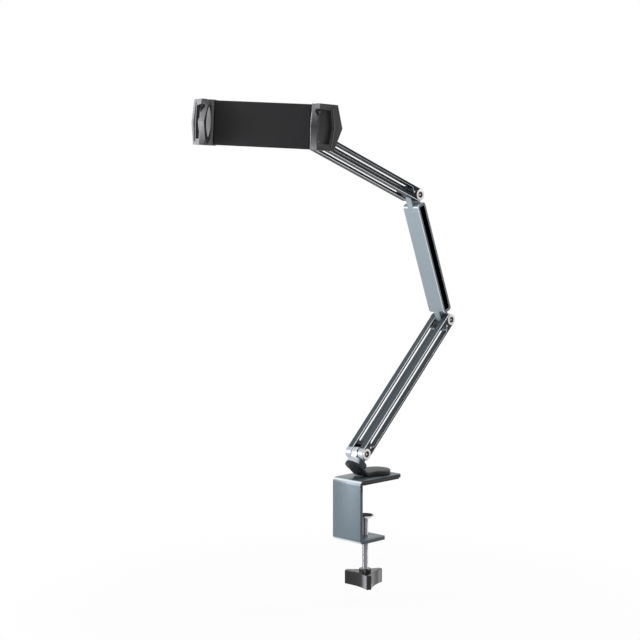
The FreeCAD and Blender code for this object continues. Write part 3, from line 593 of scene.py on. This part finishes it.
def bright(name, body, rough, place=Matrix(), metallic=1.0, shaded=None):
    """Turned metal, with the lathe's fine rings about the piece's own axis.

    shaded is the tone of what faces to the right.
    """
    finish = new_finish(name)
    rings = finish.node("ShaderNodeTexWave", {"wave_type": "RINGS", "rings_direction": "Z"},
                        {"Vector": finish.places(place), "Scale": 260, "Distortion": 0.4,
                         "Detail": 1})
    turned = Value(finish, rings.outputs[1])
    cloud = finish.noise(finish.places(), scale=160)
    colour = finish.mix(cloud, scaled(body, 0.9), body)
    if shaded is not None:
        colour = finish.mix(finish.normals()[0].past(0.6, gain=4), colour, shaded)
    return finish.surface(Base_Color=colour, Metallic=metallic,
                          Roughness=cloud * 0.1 + turned * 0.04 + rough,
                          Normal=finish.bump(turned, strength=0.08, distance=0.02 * MM,
                                             radius=0.2 * MM))


def moulded(name, body, rough, grain=1500, depth=0.25, wear_and_highlight=0.35, edge=None, gloss=0.2,
            painted=None):
    """Moulded plastic with a spark-eroded grain, a little lighter along its edges as wear and
    as painted highlight.
    """
    finish = new_finish(name)
    skin = finish.noise(finish.places(), scale=grain, detail=2, roughness=0.6)
    cloud = finish.noise(finish.places(), scale=55)
    tone = finish.mix(cloud, scaled(body, 0.86), body)
    if painted:
        tone = painted(finish, tone)
    # edges lighter as wear and as painted highlight
    rubbed_and_lit = finish.edges(radius=0.6 * MM, gain=2) * wear_and_highlight
    colour = finish.mix(rubbed_and_lit, tone, edge or scaled(body, 2.6))
    return finish.surface(Base_Color=colour, Specular_IOR_Level=gloss,
                          Roughness=cloud * 0.12 + skin * 0.08 + rough - 0.1,
                          Normal=finish.bump(skin, strength=depth, distance=0.04 * MM,
                                             radius=0.3 * MM))


def jaw_face(side):
    """The outer face of a jaw: along it from the ridge, and across it."""
    turn = FACE_TURN if side > 0 else math.pi - FACE_TURN
    ridge = Matrix.Translation((RIDGE[0] * MM * side, RIDGE[1] * MM, 0))
    return HOLDER @ ridge @ Matrix.Rotation(turn, 4, "Z")


def jaw_painted_light_and_shade(side):
    """A jaw's painted light and shade: painted light on the facets turned to the front left,
    painted shade in its recess.
    """
    def painted(finish, tone):
        across, deep, _ = finish.normals()
        # painted light on the facets turned to the front left
        lit = (across * FRONT_LEFT[0] + deep * FRONT_LEFT[1]).limited()
        tone = finish.mix(lit, tone, JAW_PAINTED_LIGHT)
        along, inwards, up = finish.split(finish.places(jaw_face(side)))
        # painted shade in the recess, darkest at its near end
        recess = finish.within((inwards * side, *RECESS_ACROSS), (along, *RECESS_ALONG),
                               (finish.size_of(up), None, RECESS_HALF))
        far = (along / (16 * MM) - 0.3).limited()
        return finish.mix(recess, tone, finish.mix(far, RECESS_SHADE_NEAR, RECESS_SHADE_FAR))
    return painted


def glossy(name, body):
    """Polished black plastic with a faint orange peel and a painted highlight beside each of
    its lobes.
    """
    finish = new_finish(name)
    peel = finish.noise(finish.places(), scale=240, detail=1)
    smudge = finish.noise(finish.places(), scale=70, detail=5)
    colour = finish.mix(smudge, scaled(body, 0.8), body)
    across, deep, _ = finish.split(finish.places())
    # painted highlight beside each lobe, on the upright faces
    beside = (KNOB_TURN - deep.combined("ARCTAN2", deep, across)) * KNOB_LOBES
    upright_face = (1 - finish.size_of(finish.normals()[2]) * 2).limited()
    near = finish.of("COSINE", beside).limited() ** 3
    sheen = near * (finish.of("SINE", beside) * 4).limited()
    colour = finish.mix(sheen * upright_face, colour, KNOB_PAINTED_HIGHLIGHT)
    return finish.surface(Base_Color=colour, Roughness=smudge * 0.14 + 0.12,
                          Specular_IOR_Level=0.35,
                          Normal=finish.bump(peel, strength=0.05, distance=0.1 * MM,
                                             radius=0.4 * MM))


def rubber(name, body, ribs=0.0, gloss=0.2):
    """Soft matte rubber with fine ribs or a plain grain."""
    finish = new_finish(name)
    skin = finish.noise(finish.places(), scale=900, roughness=0.65)
    bands = finish.node("ShaderNodeTexWave", {"wave_type": "BANDS", "bands_direction": "Y"},
                        {"Vector": finish.places(), "Scale": 160, "Distortion": 0})
    relief = skin * (1 - ribs) + Value(finish, bands.outputs[1]) * ribs
    colour = finish.mix(skin, scaled(body, 0.82), body)
    return finish.surface(Base_Color=colour, Roughness=skin * 0.15 + 0.72,
                          Specular_IOR_Level=gloss,
                          Normal=finish.bump(relief, strength=0.3, distance=0.1 * MM,
                                             radius=0.3 * MM))


def jaw_plastic(word, side):
    return moulded(f"{word}_jaw_plastic", JAW, rough=0.44, grain=1300, depth=0.2, wear_and_highlight=0.4,
                   edge=JAW_EDGE_WEAR_AND_HIGHLIGHT, painted=jaw_painted_light_and_shade(side))


finishes = {
    # the arms are one anodised metal: their different front tones are painted light and shade,
    # lit on the middle arm and shaded on the lower and, darker still, the upper arm
    "lower": anodised("arm_lower_anodised", shade(60, 70, 77), ARM_SIDE_SHADE, BEVEL_HIGHLIGHT_COLOUR, LOWER,
                      slotted=True, knuckle=3 * MM),
    "middle": anodised("arm_middle_anodised", shade(149, 161, 169), shade(100, 111, 118),
                       BEVEL_HIGHLIGHT_COLOUR, MIDDLE, slotted=True, grooved=True, rear_bevel_highlight=0.8),
    "upper": anodised("arm_upper_anodised", shade(30, 36, 41), ARM_SIDE_SHADE, BEVEL_HIGHLIGHT_COLOUR, UPPER,
                      slotted=True, metallic=0.15, gloss=0.12),
    "head": anodised("head_anodised", shade(96, 107, 115), shade(80, 90, 98), BEVEL_HIGHLIGHT_COLOUR),
    # the clamp: painted shade on its sides, lighter below the desk, and painted highlights on
    # its bevels and folds
    "clamp": anodised("clamp_anodised", shade(99, 112, 121), shade(38, 38, 41),
                      shade(150, 160, 168), bend_highlight=shade(232, 240, 245),
                      low_side_shade=shade(70, 80, 87)),
    "foot": moulded("foot_painted", shade(24, 29, 34), rough=0.42, grain=1100, depth=0.15,
                    wear_and_highlight=0.8, edge=shade(92, 98, 104), gloss=0.3),
    "spacer": anodised("spacer_anodised", shade(26, 30, 36), shade(24, 26, 30),
                       shade(60, 66, 72)),
    # the drum: turned metal whose light tone is partly a painted highlight, with painted shade
    # on what faces to the right
    "drum": bright("drum_turned", shade(196, 203, 208), rough=0.2, place=SEAT,
                   shaded=shade(56, 62, 68)),
    "bolts": bright("bolt_plated", shade(214, 208, 210), rough=0.24),
    "dark_screw": bright("screw_near_black", shade(52, 48, 50), rough=0.32, metallic=0.6),
    "jaw_screw": bright("jaw_screw_plated", shade(120, 120, 123), rough=0.4),
    "rod": bright("rod_plated", shade(176, 176, 180), rough=0.24),
    "chrome": bright("chrome_polished", shade(214, 214, 217), rough=0.06),
    "pad": rubber("pad_rubber", shade(26, 26, 27), ribs=0.6),
    "liner": rubber("groove_liner", shade(9, 12, 16), ribs=0.6, gloss=0.02),
    "jaw_pad": rubber("jaw_pad_rubber", shade(226, 226, 228)),
    "nylon": moulded("washer_nylon", shade(20, 20, 21), rough=0.4, grain=700, depth=0.1,
                     wear_and_highlight=0.2),
    "knob": glossy("knob_polished", shade(20, 20, 21)),
    "ring": moulded("ring_plastic", shade(28, 28, 30), rough=0.4),
    "shell": moulded("shell_plastic", shade(32, 32, 34), rough=0.5),
    "plate": moulded("plate_plastic", shade(42, 42, 44), rough=0.58, grain=1900, depth=0.2,
                     wear_and_highlight=0.2),
    "left_jaw": jaw_plastic("left", -1),
    "right_jaw": jaw_plastic("right", 1),
    "slide": moulded("slide_plastic", shade(34, 34, 36), rough=0.5),
}
finish_of_slot = {
    "clamp_metal": "clamp", "foot_metal": "foot", "spacer_metal": "spacer",
    "head_metal": "drum", "steel": "bolts", "chromed": "chrome", "pad_rubber": "pad",
    "nylon": "nylon", "knob_plastic": "knob", "ring_plastic": "ring",
    "shell_plastic": "shell", "plate_plastic": "plate", "slide_plastic": "slide",
    "jaw_rubber": "jaw_pad",
}


def finish_of(part):
    """The finish of a solid: an arm's is its body's, and each jaw has its own."""
    slot = slot_of_part[part]
    if slot == "arm":
        return finishes[body_of_part[part]]
    if slot == "jaw_plastic":
        return finishes[part]
    return finishes[finish_of_slot[slot]]


for part, item in parts.items():
    dress(item, finish_of(part))
dress(parts["head_screw"], finishes["dark_screw"])

# the width of each solid's rounded edges, in millimetres
EDGES = {"left_jaw": 0.9, "right_jaw": 0.9, "clamp_bracket": 0.7, "holder_shell": 0.5,
         "front_plate": 0.35, "swivel_foot": 0.35, "left_slide": 0.5, "right_slide": 0.5,
         "desk_pad": 0.4, "left_pad": 0.35, "right_pad": 0.35}
for part, width in EDGES.items():
    rounded_copy(part, width * MM)


def swivel_drum():
    """The turned head over the foot, its drum drawn out to the rim of its seat."""
    piece = rounded_copy("pivot_head", 0.3 * MM)
    settle(piece, SEAT.inverted())
    low, high, inner = -0.1 * MM, DRUM_HEIGHT + 0.1 * MM, 11 * MM
    pick(piece, "VERT",
         lambda spot: low < spot.z < high and math.hypot(spot.x, spot.y) > inner)
    grown = DRUM_DRAWN / DRUM_ROUND
    bpy.ops.transform.resize(value=(grown, grown, 1),
                             center_override=(0, DRUM_ROUND, DRUM_HEIGHT / 2))
    leave()
    settle(piece, SEAT)


def slotted_bars():
    """The four slotted side bars: round ends, a long slot, pivot and pin holes."""
    low, high = BAR_INNER - MM, BAR_OUTER + MM
    for arm, place in (("lower", LOWER), ("upper", UPPER)):
        bar = flat_link(LINK_ROUND, 0, ARM_LENGTH, BAR_INNER, BAR_OUTER)
        bevelled(bar, level_edge, BAR_BEVEL)
        carve(bar, flat_link(SLOT_ROUNDS[arm], SLOT_START, ARM_LENGTH - SLOT_START, low, high))
        for end in (0, ARM_LENGTH):
            carve(bar, disc(PIVOT_HOLE, low, high, end))
        for end in (PIN_HEIGHT, ARM_LENGTH - PIN_HEIGHT):
            carve(bar, disc(PIN_HOLE, low, high, end, vertices=24))
        rim_bevelled(bar, use_clamp_overlap=False)
        for word, shift in (("right", 0), ("left", -BAR_INNER - BAR_OUTER)):
            piece = twin(bar)
            settle(piece, place @ Matrix.Translation((shift, 0, 0)))
            smooth(piece)
            fitted(piece, f"{arm}_{word}_slotted_bar", finishes[arm], arm, "arm",
                   f"{arm}_arm_{word}_bar")
        bpy.data.objects.remove(bar)


def side_block(side, inner, outer, half, start):
    """A block in a side groove of the middle arm, equally far from both of its ends."""
    low, high = sorted((side * inner, side * outer))
    return block((low, -half, start), (high, half, MIDDLE_LENGTH - start))


def middle_bar():
    """The I-section middle arm: rounded shoulders, a groove in each side, tongues."""
    bar = block((-MIDDLE_HALF, -LINK_ROUND, SHOULDER),
                (MIDDLE_HALF, LINK_ROUND, MIDDLE_LENGTH - SHOULDER))
    bevelled(bar, cross_edge, SHOULDER_ROUND, segments=6)
    bevelled(bar, level_edge, MIDDLE_BEVEL)
    for side in (-1, 1):
        groove = side_block(side, TONGUE, MIDDLE_HALF + MM, GROOVE_HALF, GROOVE_START)
        bevelled(groove, cross_edge, GROOVE_CORNER, segments=3)
        carve(bar, groove)
    carve(bar, flat_link(LINK_ROUND, 0, MIDDLE_LENGTH, -TONGUE, TONGUE), "UNION")
    for end in (0, MIDDLE_LENGTH):
        carve(bar, disc(PIVOT_HOLE, -MIDDLE_HALF, MIDDLE_HALF, end))
    rim_bevelled(bar)
    settle(bar, MIDDLE)
    smooth(bar)
    fitted(bar, "middle_grooved_bar", finishes["middle"], "middle", "arm", "middle_arm")

    liners = []
    for side in (-1, 1):
        liner = side_block(side, TONGUE + 0.02 * MM, TONGUE + 0.9 * MM,
                           GROOVE_HALF - 0.15 * MM, GROOVE_START + 0.2 * MM)
        bevelled(liner, cross_edge, LINER_CORNER, segments=3)
        bevelled(liner, level_edge, 0.2 * MM)
        liners.append(liner)
    liner = joined(liners)
    settle(liner, MIDDLE)
    fitted(liner, "middle_groove_liners", finishes["liner"], "middle", "nylon")


def hinge_bolts():
    """At each pivot a plated collar, a near-black socket screw that puts painted shade in the
    collar's dish, and two friction washers.
    """
    collar = disc(COLLAR_ROUND, BAR_OUTER - 0.05 * MM, BAR_OUTER + COLLAR_PROUD)
    bevelled(collar, level_edge, COLLAR_BEVEL, segments=2)
    carve(collar, disc(COLLAR_BORE, BAR_OUTER - MM, BAR_OUTER + 2 * MM))
    pin = disc(CENTRE_PIN, BAR_OUTER - 1.65 * MM, BAR_OUTER + 0.2 * MM, vertices=24)
    collar = joined([collar, pin])
    # the near-black socket screw puts painted shade into the collar's dish
    screw = disc(SHANK_ROUND, -BAR_OUTER - 1.5 * MM, BAR_OUTER - 0.1 * MM)
    carve(screw, disc(HEAD_ROUND, BAR_OUTER - 0.4 * MM, BAR_OUTER + 0.5 * MM), "UNION")
    carve(screw, disc(SOCKET_ROUND, BAR_OUTER - 1.6 * MM, BAR_OUTER + MM, vertices=6))
    washers = []
    for side in (-1, 1):
        low, high = sorted((side * (TONGUE + 0.12 * MM), side * (BAR_INNER - 0.05 * MM)))
        washer = disc(WASHER_ROUND, low, high)
        bevelled(washer, level_edge, WASHER_BEVEL)
        carve(washer, disc(WASHER_BORE, low - MM, high + MM))
        washers.append(washer)
    washers = joined(washers)

    spots = (("base", "lower", LOWER), ("middle", "lower", beyond(LOWER, ARM_LENGTH)),
             ("upper", "upper", UPPER), ("end", "upper", beyond(UPPER, ARM_LENGTH)))
    kinds = ((collar, "collar", "bolts", "steel", None),
             (screw, "socket_screw", "dark_screw", "steel", "bolt"),
             (washers, "friction_washers", "nylon", "nylon", "washers"))
    for word, body, place in spots:
        for drawn, kind, finish, slot, stands_for in kinds:
            piece = twin(drawn)
            settle(piece, place)
            smooth(piece, 30)
            names = [f"{word}_pivot_{stands_for}"] if stands_for else []
            fitted(piece, f"{word}_{kind}", finishes[finish], body, slot, *names)
    for drawn, *_ in kinds:
        bpy.data.objects.remove(drawn)


def threaded_rod():
    """The clamp screw: a rolled thread with cut ends, and the spigot in the pressing plate."""
    bpy.ops.object.select_all(action="DESELECT")
    bpy.ops.mesh.primitive_plane_add(size=MM)
    rod = bpy.context.object
    edit(rod)
    bpy.ops.mesh.merge(type="CENTER")
    start = ROD_LOW - PITCH
    bpy.ops.transform.translate(value=(ROOT, 0, start))
    depth = CREST - ROOT
    # one turn's outline: out, and up by a share of the pitch
    for out, rise in ((depth, 0.4), (0, 0.15), (-depth, 0.4), (0, 0.05)):
        bpy.ops.mesh.extrude_region_move(
            TRANSFORM_OT_translate={"value": (out, 0, rise * PITCH)})
    leave()
    turns = math.ceil((ROD_TOP - start) / PITCH) + 1
    modify(rod, "SCREW", axis="Z", angle=2 * math.pi, screw_offset=PITCH, iterations=turns,
           steps=ROD_SIDES, render_steps=ROD_SIDES, use_merge_vertices=True,
           merge_threshold=WELD)
    edit(rod)
    bpy.ops.mesh.remove_doubles(threshold=WELD)
    for height, up in ((ROD_TOP, 1), (ROD_LOW, -1)):
        bpy.ops.mesh.select_all(action="SELECT")
        bpy.ops.mesh.bisect(plane_co=(0, 0, height), plane_no=(0, 0, up), use_fill=True,
                            clear_outer=True, threshold=0.0001 * MM)
    bpy.ops.mesh.select_all(action="SELECT")
    bpy.ops.mesh.remove_doubles(threshold=WELD)
    bpy.ops.mesh.normals_make_consistent(inside=False)
    leave()
    spigot = peg(SPIGOT_ROUND, ROD_TOP - 0.4 * MM, ROD_TOP + 3.2 * MM, 48)
    bevelled(spigot, every_edge, SPIGOT_BEVEL, segments=2)
    rod = joined([rod, spigot])
    smooth(rod, 24)
    fitted(rod, "clamp_screw_thread", finishes["rod"], "screw", "steel", "clamp_screw")


def small_screw(radius, tall, place):
    """A countersunk cross-head screw, its head along +Z from its place."""
    head = peg(radius, 0, tall, 40)
    bevelled(head, every_edge, tall * 0.4, segments=3)
    reach, half, bottom, top = radius * 0.575, radius * 0.14, tall * 0.45, tall * 1.55
    for turn in (0, math.pi / 2):
        blade = block((-reach, -half, bottom), (reach, half, top))
        settle(blade, Matrix.Rotation(turn, 4, "Z"))
        carve(head, blade)
    settle(head, place)
    smooth(head, 32)
    return head


def screws(name, body, finish, places, radius, tall):
    """Like screws, made one piece."""
    piece = joined([small_screw(radius, tall, place) for place in places])
    fitted(piece, name, finishes[finish], body, "steel")


def jaw_screws(side, word):
    """The two screws at the ends of the recess in a jaw's outer face."""
    facing = Matrix.Rotation(math.radians(90 * side), 4, "X")
    along, reach = 8.5 * MM, 16.8 * MM
    places = [jaw_face(side) @ Matrix.Translation((along, RECESS_FLOOR * side, height))
              @ facing for height in (-reach, reach)]
    screws(f"jaw_screws_{word}", f"jaw_{word}", "jaw_screw", places, radius=1.5 * MM,
           tall=0.9 * MM)


def shell_screws():
    """The four screws that close the holder's rear cover."""
    facing = Matrix.Rotation(math.radians(-90), 4, "X")
    wide, high, depth = 50 * MM, 21.5 * MM, SHELL_BACK - 0.02 * MM
    places = [HOLDER @ Matrix.Translation((across, depth, up)) @ facing
              for across in (-wide, wide) for up in (-high, high)]
    screws("shell_screws", "holder", "bolts", places, radius=2.2 * MM, tall=0.7 * MM)


swivel_drum()
slotted_bars()
middle_bar()
hinge_bolts()
threaded_rod()
jaw_screws(1, "right")
jaw_screws(-1, "left")
shell_screws()

# studio: the floor lies far enough below for the knob of the opened clamp
FLOOR_DROP = 21 * MM
FLOOR_PAINT = (0.86, 0.86, 0.86, 1)
FLOOR_WHITE = 0.94
WHITE = (1, 1, 1, 1)
ROOM_LIGHT = 0.32
LIT_SPOT = (0, -0.03, 0.16)
LAMPS = {  # place, width and height, watts
    "key_lamp": ((-1.35, -2.15, 0.3), (1.2, 1.2), 52),
    "fill_lamp": ((2.0, -0.8, 0.9), (0.9, 1.2), 3),
    "back_lamp": ((0.8, 1.8, 1.4), (1.2, 0.8), 18),
    "top_lamp": ((-0.2, -0.4, 2.4), (1.0, 1.0), 8),
}
CAMERA_PLACE = (1.2996, -1.3905, 0.3602)
CAMERA_FALL = 4.655
CAMERA_TURN = 44.8
CAMERA_LENS = 85.05


def pale_floor():
    """A white floor that keeps the shadow near the part."""
    bpy.ops.object.select_all(action="DESELECT")
    bpy.ops.mesh.primitive_plane_add(size=14, location=(0, 0, solid_box[0].z - FLOOR_DROP))
    floor = bpy.context.object
    floor.name = "floor"
    pale = new_finish("floor_white")
    around = pale.places(Matrix.Translation((0.01, -0.03, 0)))
    far = pale.node("ShaderNodeVectorMath", {"operation": "LENGTH"}, {0: around})
    share = Value(pale, far.outputs["Value"]).past(0.25, gain=0.4) * 0.6 + FLOOR_WHITE
    matte = pale.node("ShaderNodeBsdfDiffuse", {}, {"Color": FLOOR_PAINT})
    white = pale.node("ShaderNodeEmission", {}, {"Color": WHITE, "Strength": 1})
    mixed = pale.node("ShaderNodeMixShader", {},
                      {0: (pale.in_view() * share).limited(), 1: matte.outputs[0],
                       2: white.outputs[0]})
    pale.node("ShaderNodeOutputMaterial", {}, {"Surface": mixed.outputs[0]})
    dress(floor, pale.owner)


def pale_room():
    world = bpy.data.worlds.new("room")
    bpy.context.scene.world = world
    room = Finish(world)
    level = room.in_view() * (1 - ROOM_LIGHT) + ROOM_LIGHT
    sky = room.node("ShaderNodeBackground", {}, {"Color": WHITE, "Strength": level})
    room.node("ShaderNodeOutputWorld", {}, {"Surface": sky.outputs[0]})


def lamp(name, place, size, watts):
    """A soft lamp aimed at the middle of the part."""
    light = bpy.data.lights.new(name, "AREA")
    light.shape = "RECTANGLE"
    light.size, light.size_y = size
    light.energy = watts
    item = bpy.data.objects.new(name, light)
    bpy.context.scene.collection.objects.link(item)
    item.location = place
    aim = Vector(LIT_SPOT) - Vector(place)
    item.rotation_euler = aim.to_track_quat("-Z", "Y").to_euler()


def viewpoint():
    camera = bpy.data.cameras.new("camera")
    camera.sensor_width = 36
    camera.lens = CAMERA_LENS
    item = bpy.data.objects.new("camera", camera)
    bpy.context.scene.collection.objects.link(item)
    item.location = CAMERA_PLACE
    item.rotation_euler = (math.radians(90 - CAMERA_FALL), 0, math.radians(CAMERA_TURN))
    bpy.context.scene.camera = item


pale_floor()
pale_room()
for name, (place, size, watts) in LAMPS.items():
    lamp(name, place, size, watts)
viewpoint()
bpy.context.scene.view_settings.view_transform = "Standard"
bpy.context.view_layer.update()
